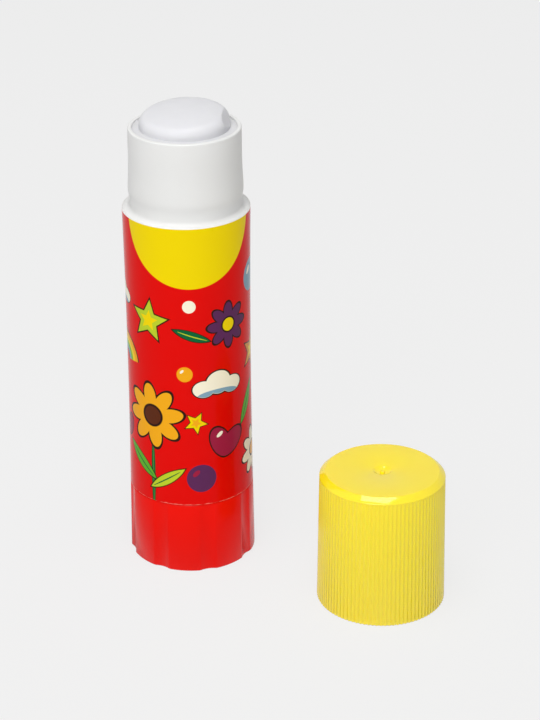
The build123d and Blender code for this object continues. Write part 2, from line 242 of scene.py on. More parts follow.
# %% The barrel's outline
bore_radius = 10.75
collar_radius = 11.56
band_radius = 11.59
bead_radius = 11.81
spigot_radius = 11.7
spigot_wall = 1.2
floor_rise = 1.5
floor_thickness = 2.5
floor_low = tube_bottom + floor_rise
floor_top = floor_low + floor_thickness
journal_hole = 4.46
outer_rounding = 0.3
inner_rounding = 0.14
ledge_rounding = 0.1
ledge_fillet = 0.8
guide_stop = 11.0
guide_top = rim_top - guide_stop

# The bead, from the ledge up: the radius, and the height over the ledge.
bead = [
    (band_radius, ledge_top + 2.5),
    (bead_radius - 0.12, ledge_top + 3.1),
    (bead_radius - 0.03, ledge_top + 3.5),
    (bead_radius, ledge_top + 4.3),
    (bead_radius - 0.02, ledge_top + 5.2),
    (bead_radius - 0.09, ledge_top + 6.4),
    (collar_radius + 0.08, ledge_top + 7.8),
    (collar_radius + 0.03, ledge_top + 9.6),
    (collar_radius, ledge_top + 12.0),
]
barrel_outline = [
    (spigot_radius - spigot_wall, floor_low),
    (spigot_radius - spigot_wall, barrel_low.z),
    (spigot_radius, barrel_low.z),
    (spigot_radius, tube_bottom),
    *round_corner(tube_radius - ledge_rounding, tube_bottom + ledge_rounding, ledge_rounding, -90, 0, 3),
    *waisted(0, tube_bottom + ledge_rounding, ledge_top - ledge_rounding)[1:-1],
    *round_corner(tube_radius - ledge_rounding, ledge_top - ledge_rounding, ledge_rounding, 0, 90, 4),
    *round_corner(band_radius + ledge_fillet, ledge_top + ledge_fillet, ledge_fillet, 270, 180, 8),
    *bead,
    *round_corner(collar_radius - outer_rounding, rim_top - outer_rounding, outer_rounding, 0, 90, 6),
    *round_corner(bore_radius + inner_rounding, rim_top - inner_rounding, inner_rounding, 90, 180, 4),
    (bore_radius, guide_top),
    (bore_radius, floor_top),
    (journal_hole, floor_top),
    (journal_hole, floor_low),
    (spigot_radius - spigot_wall, floor_low),
]
print("the barrel's outline has", len(barrel_outline), "points")

# %% The barrel, with four guides in its bore
barrel_sides = 224
guide_depth = 0.6
guide_count = 4
guide_reach = 2.1  # in faces, to each side of a guide's middle
near = 0.05  # how far the middle of a face may lie from the bore's wall
barrel = start_ring("barrel_moulding", barrel_sides, barrel_outline)
climb(barrel_outline)
close_up()
guide_half = guide_reach * 2 * pi / barrel_sides
guide_pitch = 2 * pi / guide_count


def on_guide(face):
    """True for a face of the bore's wall that a guide stands on."""
    middle = face.center / MM
    angle = Vector((1, 0)).angle_signed(middle.xy)
    folded = abs((angle + guide_pitch / 2) % guide_pitch - guide_pitch / 2)
    on_wall = bore_radius - near < middle.xy.length < bore_radius + near
    return on_wall and floor_top < middle.z < guide_top and folded < guide_half


pick(barrel, "FACE", on_guide)
bpy.ops.mesh.extrude_region_move()
inwards = (bore_radius - guide_depth) / bore_radius
bpy.ops.transform.resize(value=(inwards, inwards, 1), center_override=(0, 0, 0))
close_up()
finish_piece(barrel, "barrel", "barrel")

# %% [markdown]
# ## The label
# The label is a sleeve of printed film, a tenth of a millimetre thick, wrapped once round the tube. Its
# end overlaps its start at the back, where it makes a narrow raised lap. A sheet could be rolled up with a
# solidify modifier, but a thin ring is closed from the start, and its lap is simply a band of faces that
# is extruded outwards by one more thickness.

# %% The label
label_radius = label_high.x
glue_film = 0.02
film = 0.1
lap_width = 2.8
lap_half = lap_width / 2 / label_radius
label_sides = 360
film_inside = waisted(glue_film, label_low.z, label_high.z)
label_outline = [
    film_inside[0],
    *waisted(glue_film + film, label_low.z, label_high.z),
    *reversed(film_inside),
]
label = start_ring("printed_label", label_sides, label_outline)
climb(label_outline)
close_up()


def on_lap(face):
    """True for a face of the film's outside where its end lies over its start."""
    looks_back = face.normal.y > 0.9
    return looks_back and abs(Vector((0, 1)).angle_signed(face.center.xy)) < lap_half


pick(label, "FACE", on_lap)
bpy.ops.mesh.extrude_region_move()
outwards = (label_radius + film) / label_radius
bpy.ops.transform.resize(value=(outwards, outwards, 1), center_override=(0, 0, 0))
close_up()
finish_piece(label, "label", "barrel")

# %% [markdown]
# ## The twist knob
# The knob is a cup of red polypropylene with eight shallow hollows that the fingers turn it by. The
# hollows keep their width but get shallower towards the seam, so the ring at the base is bent deeply and
# the ring at the seam less. The hollow is an arc with a small round shoulder on each side. Cutting eight
# cylinders out of the knob would give hollows of one depth and sharp lips, so the ring is bent instead.

# %% The hollows' outline
hollow_count = 8
hollow_turn = 16.0
hollow_width = 4.6
hollow_low = 0.48
hollow_high = 0.2
shoulder = 1.0
knob_crest_low = 13.42
knob_crest_high = 13.2


def hollow_rule(crest, depth):
    """A rule that gives the knob's radius at an angle from the middle of the nearest hollow."""
    arc = hollow_width / 2 / sin(2 * atan(depth / (hollow_width / 2))) - shoulder
    middle = crest - depth + arc
    inside = crest - shoulder
    reach = arc + shoulder
    spread = acos((middle**2 + inside**2 - reach**2) / (2 * middle * inside))
    join_x = middle + (inside * cos(spread) - middle) * arc / reach
    join_y = inside * sin(spread) * arc / reach
    join = asin(join_y / sqrt(join_x**2 + join_y**2))

    def radius(folded):
        if folded < join:
            return middle * cos(folded) - sqrt(arc**2 - (middle * sin(folded))**2)
        if folded < spread:
            off = spread - folded
            return inside * cos(off) + sqrt(shoulder**2 - (inside * sin(off))**2)
        return crest

    return radius


# %% The knob's skin, drawn from the foot up and back down inside
sides_per_hollow = 48
knob_sides = hollow_count * sides_per_hollow
knob_wall = 1.3
knob_plate = 1.8
knob_edge = 0.3
seam_rounding = 0.2
foot_inner = 9.4
pad_radius = 5.5
recess = 0.8
hub_radius = 6.2
hub_top = 15.65
socket_bottom = 3.95
socket_radius = 4.1
skirt_inner = knob_crest_high - knob_wall
top_edge = knob_crest_high - 0.35  # where the knob's upper edge is a plain circle again
foot_outline = [
    (pad_radius, 0),
    (pad_radius, recess),
    (foot_inner, recess),
    (foot_inner, 0),
    (knob_crest_low - knob_edge, 0),
]
inner_outline = [
    (skirt_inner, knob_height),
    (skirt_inner, knob_plate),
    (hub_radius, knob_plate),
    (hub_radius, hub_top),
    (socket_radius, hub_top),
    (socket_radius, socket_bottom),
    (0, socket_bottom),
]
knob = start_ring("lobed_knob", knob_sides, foot_outline, turn=hollow_turn, closed=True)
climb(foot_outline)
low_rule = hollow_rule(knob_crest_low, hollow_low)
high_rule = hollow_rule(knob_crest_high, hollow_high)
classes = bend_ring(knob, 0, (0, 0), hollow_turn, hollow_count, lambda a: low_rule(a) - knob_edge)
climb([(knob_crest_low - knob_edge, 0), (knob_crest_low, knob_edge)])
climb([(knob_crest_low, knob_edge), (knob_crest_high, knob_height - seam_rounding)])
bend_ring(knob, knob_height - seam_rounding, (0, 0), hollow_turn, hollow_count, high_rule)
seam = round_corner(knob_crest_high - seam_rounding, knob_height - seam_rounding, seam_rounding, 0, 90, 3)
climb(seam)
bend_ring(knob, knob_height, (0, 0), hollow_turn, hollow_count, lambda a: top_edge)
climb([(top_edge, knob_height), *inner_outline])
close_up()
finish_piece(knob, "twist_knob", "knob", sharp=50)
print("the vertices of a ring fall into", classes, "classes")

# %% [markdown]
# ## The glue
# The glue is cast into its carrier and then pushed up through the mouth, where it smears and fills the
# rim. Its tip is a low dome with a soft edge, which leans, because a stick is rubbed down unevenly. On
# the right a flake has broken off, as happens when the cap scrapes it. The flake could be sculpted, but
# it is small and nearly flat, so one cut along a plane gives it.

# %% The glue's outline
glue_radius = 10.45
smeared_radius = 10.73
tip_radius = 9.25
tip_rounding = 2.2
crown_ball = 33.0
screw_bore = 4.0
screw_bore_top = 94.9
nut_hole = 5.64
nut_depth = 7.44
cup_hole = 9.06
cup_depth = 5.44
cup_floor = glue_low.z
over_cup = glue_low.z + cup_depth
over_nut = glue_low.z + nut_depth
glue_crown = glue_high.z
smear_low = rim_top - 4.2
smear_high = rim_top - 3.4
shoulder_low = rim_top - 0.3
shoulder_high = shoulder_low + 0.12
shoulder_steps = 14

# The crown is part of a large ball. This is its slope where the round edge of the tip begins.
edge_middle = tip_radius - tip_rounding
slope = atan2(edge_middle, sqrt((crown_ball - tip_rounding) ** 2 - edge_middle ** 2))
edge_low = glue_crown - crown_ball + (crown_ball - tip_rounding) * cos(slope)
crown = round_corner(0, glue_crown - crown_ball, crown_ball, 90 - degrees(slope), 90, 12)
shoulder_curve = [
    (smeared_radius - (smeared_radius - tip_radius) * (1 - cos(pi * step / shoulder_steps)) / 2,
     shoulder_low + (shoulder_high - shoulder_low) * step / shoulder_steps)
    for step in range(shoulder_steps + 1)
]
glue_outline = [
    (screw_bore, screw_bore_top),
    (screw_bore, over_nut),
    (nut_hole, over_nut),
    (nut_hole, cup_floor),
    (cup_hole, cup_floor),
    (cup_hole, over_cup),
    (glue_radius, over_cup),
    (glue_radius, smear_low),
    (smeared_radius, smear_high),
    *shoulder_curve,
    *round_corner(edge_middle, edge_low, tip_rounding, 0, 90 - degrees(slope), 10),
    *crown[1:-1],
    (0, glue_crown),
]
print("the tip's round edge starts at", round(edge_low, 2))
print("and ends where the crown slopes by", round(degrees(slope), 1), "degrees")

# %% The glue and its leaning crown
glue_sides = 192
rise_right = radians(2.6)
rise_back = radians(4.6)
just_under = 0.01
pivot = (0, 0, edge_low * MM)
glue = start_ring("cast_glue", glue_sides, glue_outline, closed=True)
climb(glue_outline)
close_up()
pick(glue, "VERT", lambda vertex: vertex.co.z > (edge_low - just_under) * MM)
bpy.ops.transform.rotate(value=rise_right, orient_axis="Y", center_override=pivot)
bpy.ops.transform.rotate(value=-rise_back, orient_axis="X", center_override=pivot)

# %% The chip
# Only what stands over the shoulder is cut, so the smeared ring stays whole.
chip_turn = radians(-8)
chip_slope = radians(62)
chip_reach = 7.7
chip_height = glue_crown - 0.6
chip_place = Vector((chip_reach * cos(chip_turn), chip_reach * sin(chip_turn), chip_height))
chip_normal = Vector((sin(chip_slope) * cos(chip_turn), sin(chip_slope) * sin(chip_turn), cos(chip_slope)))
pick(glue, "VERT", lambda vertex: vertex.co.z > (shoulder_high - just_under) * MM)
bpy.ops.mesh.bisect(plane_co=chip_place * MM, plane_no=chip_normal, clear_outer=True)
bpy.ops.mesh.mark_sharp()
bpy.ops.mesh.edge_face_add()
close_up()
highest = max(glue.data.vertices, key=lambda vertex: vertex.co.z).co / MM
print("the crown is highest at", [round(side, 2) for side in highest])
finish_piece(glue, "glue_core", "carrier", sharp=24)

# %% [markdown]
# ## The cap
# The cap is a yellow polypropylene shell with 94 fine upright ribs, which end under a smooth bevelled
# edge. In the middle of its roof is the dimple where the plastic was injected, with the stub of the gate.
# Ninety-four copies of one rib would leave as many seams, so the first ring is bent into ribs instead, and
# every ring that is drawn from it is ribbed too, until one is bent round again.

# %% The cap's ribs
rib_count = 94
rib_depth = 0.14
rib_crest = 0.3
cap_mouth = 13.34
cap_top = 12.95
mouth_bevel = 0.3


def rib_rule(crest):
    """A rule that gives the cap's radius at an angle from the nearest rib: an arc, then a hollow."""
    half = pi / rib_count
    inside = crest - rib_crest
    bottom = crest - rib_depth
    hollow = (rib_crest**2 - inside**2 - bottom**2 + 2 * inside * bottom * cos(half)) / (
        2 * (bottom - inside * cos(half) - rib_crest)
    )
    middle = bottom + hollow
    share = rib_crest / (rib_crest + hollow)
    join_x = inside + (middle * cos(half) - inside) * share
    join_y = middle * sin(half) * share
    join = asin(join_y / sqrt(join_x**2 + join_y**2))

    def radius(folded):
        if folded < join:
            return inside * cos(folded) + sqrt(rib_crest**2 - (inside * sin(folded))**2)
        off = half - folded
        return middle * cos(off) - sqrt(hollow**2 - (middle * sin(off))**2)

    return radius


# %% The cap's outline
def arc_chain(radius, height, arcs, steps=5):
    """Points along arcs that follow each other smoothly: each has a size and two angles in degrees."""
    points = []
    for size, first, last in arcs:
        centre = (radius - size * cos(radians(first)), height - size * sin(radians(first)))
        points += round_corner(*centre, size, first, last, steps)[1 if points else 0:]
        radius, height = points[-1]
    return points


sides_per_rib = 10
cap_sides = rib_count * sides_per_rib
cap_bore = 11.96
snap_radius = 11.76
snap_low = 1.45
snap_high = 3.15
snap_slope = 0.6
cap_step = 14.25
cap_neck = 11.66
roof_wall = 1.5
cap_roof = cap_height - roof_wall
smooth_radius = cap_top + 0.02  # just over the ribs, where the bevel starts
bevel_height = 1.18
rib_top = cap_height - bevel_height
dimple_radius = 2.0
dimple_depth = 0.7
dimple_ball = (dimple_radius**2 + dimple_depth**2) / (2 * dimple_depth)
dimple_lip = 0.12
dimple_steps = 8
gate_radius = 0.45
gate_foot = 0.04
gate_height = 0.5
gate_rounding = 0.22
gate_top = cap_height - dimple_depth + gate_height
dimple = []
for step in range(1, dimple_steps - 1):
    reach = dimple_radius * (1 - step / dimple_steps)
    dimple.append((reach, cap_height - dimple_depth + dimple_ball - sqrt(dimple_ball**2 - reach ** 2)))

# The bevel is nearly flat, between two small roundings: the size of each arc, and its two angles.
bevel_arcs = [(0.25, 0, 42), (4.97, 42, 60), (0.25, 60, 90)]
bevel = arc_chain(smooth_radius, rib_top, bevel_arcs)
outside = [
    (cap_mouth - mouth_bevel, 0),
    (cap_mouth, mouth_bevel),
    (cap_top, rib_top),
]
lid = [
    *bevel,
    (dimple_radius + dimple_lip, cap_height),
    (dimple_radius + dimple_lip / 4, cap_height - dimple_lip / 4),
    *dimple,
    (gate_radius, cap_height - dimple_depth + gate_foot),
    *round_corner(gate_radius - gate_rounding, gate_top - gate_rounding, gate_rounding, 0, 90, 4),
    (0, gate_top),
]
inside = [
    (cap_neck, cap_roof),
    (cap_neck, cap_step),
    (cap_bore, cap_step),
    (cap_bore, snap_high),
    (snap_radius, snap_high - snap_slope),
    (snap_radius, snap_low + snap_slope),
    (cap_bore, snap_low),
    (cap_bore, 0),
    (cap_mouth - mouth_bevel, 0),
]
print("the bevel ends at", [round(side, 3) for side in bevel[-1]])

# %% The cap's shell
cap = start_ring("ribbed_cap", cap_sides, inside, cap_centre, closed=True)
climb(inside, cap_centre)
ribs = rib_rule(cap_mouth)
bend_ring(cap, 0, cap_centre, 0, rib_count, lambda a: ribs(a) - mouth_bevel)
climb(outside, cap_centre)
climb([outside[-1], (smooth_radius, rib_top)], cap_centre)
bend_ring(cap, rib_top, cap_centre, 0, rib_count, lambda a: smooth_radius)
climb(lid, cap_centre)
close_up()
finish_piece(cap, "cap_shell", "cap", sharp=50)

# %% [markdown]
# ## The seal
# Inside the cap sits a soft cup whose lip plugs the mouth of the barrel and keeps the glue from drying.
# It is a plain turned shape with a round lip, so one outline draws it. It shows only from below.

# %% The seal
seal_sides = 128
seal_top = cap_roof
seal_wall = 0.85
lip_outer = 10.6
lip_inner = 9.9
flange_radius = 11.64
flange_low = 17.35
flange_high = 18.85
wall_radius = 10.8
seal_roof = seal_top - seal_wall
lip = (lip_outer - lip_inner) / 2
seal_outline = [
    (lip_inner, seal_roof),
    *round_corner(lip_inner + lip, seal_bottom + lip, lip, 180, 360, 8),
    (lip_outer, flange_low),
    (flange_radius, flange_low),
    (flange_radius, flange_high),
    (wall_radius, flange_high),
    (wall_radius, seal_top),
    (0, seal_top),
]
seal = start_ring("seal_cup", seal_sides, seal_outline, cap_centre, closed=True)
climb(seal_outline, cap_centre)
close_up()
finish_piece(seal, "cap_seal", "cap")

# %% [markdown]
# ## The tools for materials
# Colours are written as they look on a screen, in sRGB hex, and one function turns them to the linear
# values that a shader needs. One more function adds any node, sets it and links it, so that a material
# reads as a short list.

# %% Colour and node helpers
def linear(code):
    """An sRGB hex colour as linear red, green, blue and alpha."""
    values = [int(code[place:place + 2], 16) / 255 for place in (1, 3, 5)]
    return [v / 12.92 if v <= 0.04045 else ((v + 0.055) / 1.055) ** 2.4 for v in values] + [1]


def add(tree, kind, settings=None, links=None):
    """Add a node; lower-case settings are its properties, and the others its input sockets."""
    node = tree.nodes.new(kind)
    for name, value in (settings or {}).items():
        if isinstance(name, str) and hasattr(node, name):
            setattr(node, name, value)
        else:
            node.inputs[name].default_value = value
    for name, source in (links or {}).items():
        tree.links.new(source, node.inputs[name])
    return node


def new_material(name, settings, *pieces):
    """A principled material with its constants, given to pieces; returns its tree and its shader."""
    material = bpy.data.materials.new(name)
    material.use_nodes = True
    shader = material.node_tree.nodes["Principled BSDF"]
    for socket, value in settings.items():
        shader.inputs[socket].default_value = value
    for piece in pieces:
        piece.data.materials.clear()
        piece.data.materials.append(material)
    print("material", name, "on", [piece.name for piece in pieces])
    return material.node_tree, shader


def link_bump(tree, shader, height, distance):
    """Raise the surface by a height between 0 and 1, times a distance in millimetres."""
    bump = add(tree, "ShaderNodeBump", {"Strength": 1.0, "Distance": distance * MM}, {"Height": height})
    tree.links.new(bump.outputs[0], shader.inputs["Normal"])


# %% [markdown]
# ## Moulded polypropylene
# Polypropylene is slightly waxy: its gloss is soft, and light goes a little way into it. A moulded wall
# is never quite flat, so a low, slow waviness bends its reflections, and a fine grain dulls them. The
# colour is cloudy by a few parts in a hundred. The real plastic's index of refraction is about 1.49. The
# white one gets a little less here, and the red one and the label's film much less, because the
# photograph shows hardly any sheen of the pale room on them.

# %% One recipe for the moulded plastics
def moulded(name, colour, cloud, settings, *pieces, wave=9.0, grain=0.25, depth=0.012):
    """Moulded plastic: a cloudy colour, a slow waviness and a fine grain, in millimetres."""
    grain_share = 0.12
    tree, shader = new_material(name, settings, *pieces)
    place = add(tree, "ShaderNodeTexCoord").outputs["Object"]
    slow = add(tree, "ShaderNodeTexNoise", {"Scale": 1 / (wave * MM), "Detail": 3.0}, {"Vector": place})
    fine = add(tree, "ShaderNodeTexNoise", {"Scale": 1 / (grain * MM), "Detail": 2.0}, {"Vector": place})
    mix = add(
        tree, "ShaderNodeMix", {"data_type": "RGBA", 6: linear(colour), 7: linear(cloud)},
        {0: slow.outputs["Fac"]},
    )
    tree.links.new(mix.outputs[2], shader.inputs["Base Color"])
    height = add(
        tree, "ShaderNodeMath", {"operation": "MULTIPLY_ADD", 1: grain_share},
        {0: fine.outputs["Fac"], 2: slow.outputs["Fac"]},
    )
    link_bump(tree, shader, height.outputs[0], depth)


# %% The plastics of this stick
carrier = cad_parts["carrier"]
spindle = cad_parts["spindle"]

# The barrel: a soft white with a broad, dull gloss and a little light inside the wall.
moulded(
    "white_polypropylene", "#E5E5E4", "#E0E0DE",
    {"Roughness": 0.38, "IOR": 1.35, "Subsurface Weight": 0.1, "Subsurface Radius": (1.0, 1.0, 1.0),
     "Subsurface Scale": 0.0012},
    barrel,
)

# The knob: a deep, clear red with narrow highlights along its crests.
moulded("red_polypropylene", "#EB1104", "#E60E03", {"Roughness": 0.2, "IOR": 1.17}, knob, depth=0.006)

# The cap: a warm yellow with sharp highlights, whose ribs glow where light goes into them.
moulded(
    "yellow_polypropylene", "#FBE424", "#F8E01E",
    {"Roughness": 0.09, "IOR": 1.5, "Subsurface Weight": 0.3, "Subsurface Radius": (1.0, 0.8, 0.3),
     "Subsurface Scale": 0.0008},
    cap, depth=0.001,
)

# The seal, the carrier and the screw: waxy off-whites that set them apart from the barrel's white.
moulded("seal_polyethylene", "#EDEBE2", "#E6E4DA", {"Roughness": 0.45, "IOR": 1.5}, seal)
moulded("carrier_polypropylene", "#EDEDEC", "#E4E4E3", {"Roughness": 0.4, "IOR": 1.49}, carrier)
moulded("screw_polypropylene", "#DADAD8", "#CFCFCC", {"Roughness": 0.4, "IOR": 1.49}, spindle)

# %% [markdown]
# ## Cast glue
# Stick glue is a set soap gel: dull, faintly blue and softly translucent, and uneven where it was last
# used. Light that goes a few millimetres in keeps its shadows soft, and one noise with many octaves
# gives the smears and the small pits together.

# %% The glue's material
smear_size = 3.0
smear_relief = 0.05
tree, shader = new_material(
    "cast_glue_gel",
    {"Roughness": 0.55, "IOR": 1.4, "Subsurface Weight": 0.6, "Subsurface Radius": (1.0, 1.0, 1.1),
     "Subsurface Scale": 0.003},
    glue,
)
place = add(tree, "ShaderNodeTexCoord").outputs["Object"]
smear = add(tree, "ShaderNodeTexNoise", {"Scale": 1 / (smear_size * MM), "Detail": 6.0}, {"Vector": place})
mix = add(
    tree, "ShaderNodeMix", {"data_type": "RGBA", 6: linear("#DBDBDE"), 7: linear("#D5D5D8")},
    {0: smear.outputs["Fac"]},
)
tree.links.new(mix.outputs[2], shader.inputs["Base Color"])
link_bump(tree, shader, smear.outputs["Fac"], smear_relief)

# %% [markdown]
# ## Printed film
# The label is polypropylene film with a glossy varnish over the ink. A real one is printed flat and then
# wrapped, and here too the picture is laid out on the unrolled label: the angle round the axis times the
# radius gives millimetres across, and the height gives millimetres up. An image could be wrapped round in
# the same way, but shapes worked out by nodes stay crisp at any size. The motifs are simple shapes of size
# one, which a mapping node moves, turns and scales to their places.

# %% The unrolled label
tree, shader = new_material("varnished_label_film", {"Roughness": 0.15, "IOR": 1.15}, label)
place = add(tree, "ShaderNodeTexCoord").outputs["Object"]
sides = add(tree, "ShaderNodeSeparateXYZ", links={0: place})
back = add(tree, "ShaderNodeMath", {"operation": "MULTIPLY", 1: -1.0}, {0: sides.outputs["Y"]})
angle = add(tree, "ShaderNodeMath", {"operation": "ARCTAN2"}, {0: sides.outputs["X"], 1: back.outputs[0]})
across = add(tree, "ShaderNodeMath", {"operation": "MULTIPLY", 1: label_radius}, {0: angle.outputs[0]})
up = add(tree, "ShaderNodeMath", {"operation": "MULTIPLY", 1: 1 / MM}, {0: sides.outputs["Z"]})
unrolled = add(tree, "ShaderNodeCombineXYZ", links={0: across.outputs[0], 1: up.outputs[0]}).outputs[0]

# %% Ink, ovals and folded sectors
INK = "#2B1710"
CRISP = 40.0


def ink(tree, under, measure, colour, reach=1.0, crisp=CRISP):
    """Print a colour, a socket or a value, over another where a measure is under a reach."""
    mask = add(
        tree, "ShaderNodeMath",
        {"operation": "MULTIPLY_ADD", "use_clamp": True, 1: -crisp, 2: reach * crisp + 0.5}, {0: measure},
    )
    settings = {"data_type": "RGBA"}
    links = {0: mask.outputs[0], 6: under}
    given = links if isinstance(colour, bpy.types.NodeSocket) else settings
    given[7] = colour
    return add(tree, "ShaderNodeMix", settings, links).outputs[2]


def set_out(tree, place, centre, radii, turn):
    """Coordinates in which a shape of size one is moved, turned in degrees and scaled to its place."""
    settings = {
        "vector_type": "TEXTURE",
        "Location": (*centre, 0),
        "Rotation": (0, 0, radians(turn)),
        "Scale": (*radii, 1),
    }
    return add(tree, "ShaderNodeMapping", settings, {"Vector": place}).outputs[0]


def oval(tree, place, centre=(0, 0), radii=(1, 1), turn=0):
    """The measure of an oval: 0 at its centre and 1 at its edge."""
    local = set_out(tree, place, centre, radii, turn)
    return add(tree, "ShaderNodeVectorMath", {"operation": "LENGTH"}, {0: local}).outputs["Value"]


def mirrored_half(tree, place):
    """Fold the left half of the plane onto the right half."""
    parts = add(tree, "ShaderNodeSeparateXYZ", links={0: place})
    half = add(tree, "ShaderNodeMath", {"operation": "ABSOLUTE"}, {0: parts.outputs[0]})
    return add(tree, "ShaderNodeCombineXYZ", links={0: half.outputs[0], 1: parts.outputs[1]}).outputs[0]


def fold(tree, place, count):
    """Fold the plane into one half of one of a number of equal sectors."""
    parts = add(tree, "ShaderNodeSeparateXYZ", links={0: place})
    angle = add(tree, "ShaderNodeMath", {"operation": "ARCTAN2"}, {0: parts.outputs[1], 1: parts.outputs[0]})
    folded = add(tree, "ShaderNodeMath", {"operation": "PINGPONG", 1: pi / count}, {0: angle.outputs[0]})
    reach = add(tree, "ShaderNodeVectorMath", {"operation": "LENGTH"}, {0: place})
    x = add(tree, "ShaderNodeMath", {"operation": "COSINE"}, {0: folded.outputs[0]})
    y = add(tree, "ShaderNodeMath", {"operation": "SINE"}, {0: folded.outputs[0]})
    unit = add(tree, "ShaderNodeCombineXYZ", links={0: x.outputs[0], 1: y.outputs[0]})
    links = {0: unit.outputs[0], "Scale": reach.outputs["Value"]}
    return add(tree, "ShaderNodeVectorMath", {"operation": "SCALE"}, links).outputs[0]


# %% The motifs
def motif(name, draw):
    """A node group that prints a motif of size one in two colours over the colour under it."""
    group = bpy.data.node_groups.new(name, "ShaderNodeTree")
    for socket, kind in (("Under", "Color"), ("Place", "Vector"), ("Main", "Color"), ("Second", "Color")):
        group.interface.new_socket(socket, in_out="INPUT", socket_type="NodeSocket" + kind)
    group.interface.new_socket("Print", in_out="OUTPUT", socket_type="NodeSocketColor")
    given = add(group, "NodeGroupInput").outputs
    result = draw(group, given["Under"], given["Place"], given["Main"], given["Second"])
    add(group, "NodeGroupOutput", links={"Print": result})
    return group


def draw_daisy(tree, under, place, main, second):
    """Eight petals round a dark-edged centre."""
    petals = oval(tree, fold(tree, place, 8), (0.6, 0), (0.4, 0.22))
    centre = oval(tree, place)
    art = ink(tree, under, petals, linear(INK), reach=1.22)
    art = ink(tree, art, petals, main)
    art = ink(tree, art, centre, linear(INK), reach=0.36)
    return ink(tree, art, centre, second, reach=0.29)


def draw_star(tree, under, place, main, second):
    """A five-pointed star with a smaller one inside it."""
    inner = 0.46
    corner = Vector((inner * cos(pi / 5), inner * sin(pi / 5), 0))
    edge = corner - Vector((1, 0, 0))
    normal = Vector((edge.y, -edge.x, 0)).normalized()
    normal = normal / normal.x
    folded = fold(tree, place, 5)
    dot = add(tree, "ShaderNodeVectorMath", {"operation": "DOT_PRODUCT", 1: normal}, {0: folded})
    side = dot.outputs["Value"]
    art = ink(tree, under, side, linear(INK), reach=1.16)
    art = ink(tree, art, side, main)
    return ink(tree, art, side, second, reach=0.5)


def draw_heart(tree, under, place, main, second):
    """Two mirrored ovals that lean on each other, with a shine."""
    mirrored = mirrored_half(tree, place)
    lobe = oval(tree, mirrored, (0.3, -0.02), (0.85, 0.5), 54)
    shine = oval(tree, place, (-0.45, 0.38), (0.2, 0.1), 50)
    art = ink(tree, under, lobe, linear(INK), reach=1.12)
    art = ink(tree, art, lobe, main)
    return ink(tree, art, shine, second)


def draw_cloud(tree, under, place, main, second):
    """Three puffs with a shaded underside."""
    mirrored = mirrored_half(tree, place)
    top = oval(tree, mirrored, (0, 0.1), (0.5, 0.5))
    side = oval(tree, mirrored, (0.58, -0.12), (0.42, 0.36))
    puffs = add(tree, "ShaderNodeMath", {"operation": "MINIMUM"}, {0: top, 1: side}).outputs[0]
    art = ink(tree, under, puffs, linear(INK), reach=1.12)
    art = ink(tree, art, puffs, main)
    shade = oval(tree, mirrored, (0, -0.5), (0.9, 0.32))
    shade = add(tree, "ShaderNodeMath", {"operation": "MAXIMUM"}, {0: shade, 1: puffs}).outputs[0]
    return ink(tree, art, shade, second, reach=0.97)


def draw_leaf(tree, under, place, main, second):
    """Two mirrored arcs with a rib along the middle."""
    width = 0.4
    shift = (1 - width**2) / (2 * width)
    mirrored = mirrored_half(tree, place)
    blade = oval(tree, mirrored, (-shift, 0), (shift + width, shift + width))
    rib = oval(tree, place, (0, -0.05), (0.05, 0.8))
    art = ink(tree, under, blade, linear(INK), reach=1.05)
    art = ink(tree, art, blade, main)
    return ink(tree, art, rib, second)


def draw_ball(tree, under, place, main, second):
    """A disc with a shine."""
    disc = oval(tree, place)
    shine = oval(tree, place, (-0.35, 0.38), (0.3, 0.16), 45)
    art = ink(tree, under, disc, main)
    return ink(tree, art, shine, second)


def draw_rainbow(tree, under, place, main, second):
    """Half rings of colour over a flat foot."""
    bow = oval(tree, place)
    parts = add(tree, "ShaderNodeSeparateXYZ", links={0: place})
    below = add(tree, "ShaderNodeMath", {"operation": "MULTIPLY", 1: -1.0}, {0: parts.outputs[1]})
    art = ink(tree, under, bow, linear(INK), reach=1.06)
    art = ink(tree, art, bow, main)
    art = ink(tree, art, bow, linear("#F0D010"), reach=0.82)
    art = ink(tree, art, bow, linear("#78B82A"), reach=0.66)
    art = ink(tree, art, bow, second, reach=0.5)
    art = ink(tree, art, bow, linear(INK), reach=0.36)
    art = ink(tree, art, bow, under, reach=0.3)
    foot = add(
        tree, "ShaderNodeMath",
        {"operation": "MULTIPLY_ADD", "use_clamp": True, 1: -CRISP, 2: 0.5}, {0: below.outputs[0]},
    )
    links = {0: foot.outputs[0], 6: under, 7: art}
    return add(tree, "ShaderNodeMix", {"data_type": "RGBA"}, links).outputs[2]


motifs = {
    "daisy": motif("daisy", draw_daisy),
    "star": motif("star", draw_star),
    "heart": motif("heart", draw_heart),
    "cloud": motif("cloud", draw_cloud),
    "leaf": motif("leaf", draw_leaf),
    "ball": motif("ball", draw_ball),
    "rainbow": motif("rainbow", draw_rainbow),
}
print("motifs:", ", ".join(motifs))

# %% [markdown]
# ## The picture
# A child's label has a cheerful scatter of small things on it. Each row of the list below is one of them:
# its motif, its place across and up the unrolled label, its scale across and up, how many degrees it is
# turned, and its two colours. Places and scales are in millimetres, and the front of the label is at 0
# across. A list is easy to change, and one loop prints it.

# %% The picture
RED = "#DE0703"
YELLOW = "#EFD300"
LIME = "#B9CC2C"
GREEN = "#5FAE2C"
DARK_GREEN = "#0A6435"
PURPLE = "#5B2A57"
MAGENTA = "#9C1F40"
ORANGE = "#EFA81A"
TAN = "#D8943A"
CREAM = "#F6EFD8"
BROWN = "#5A2A14"
BLUE = "#7FA3B8"

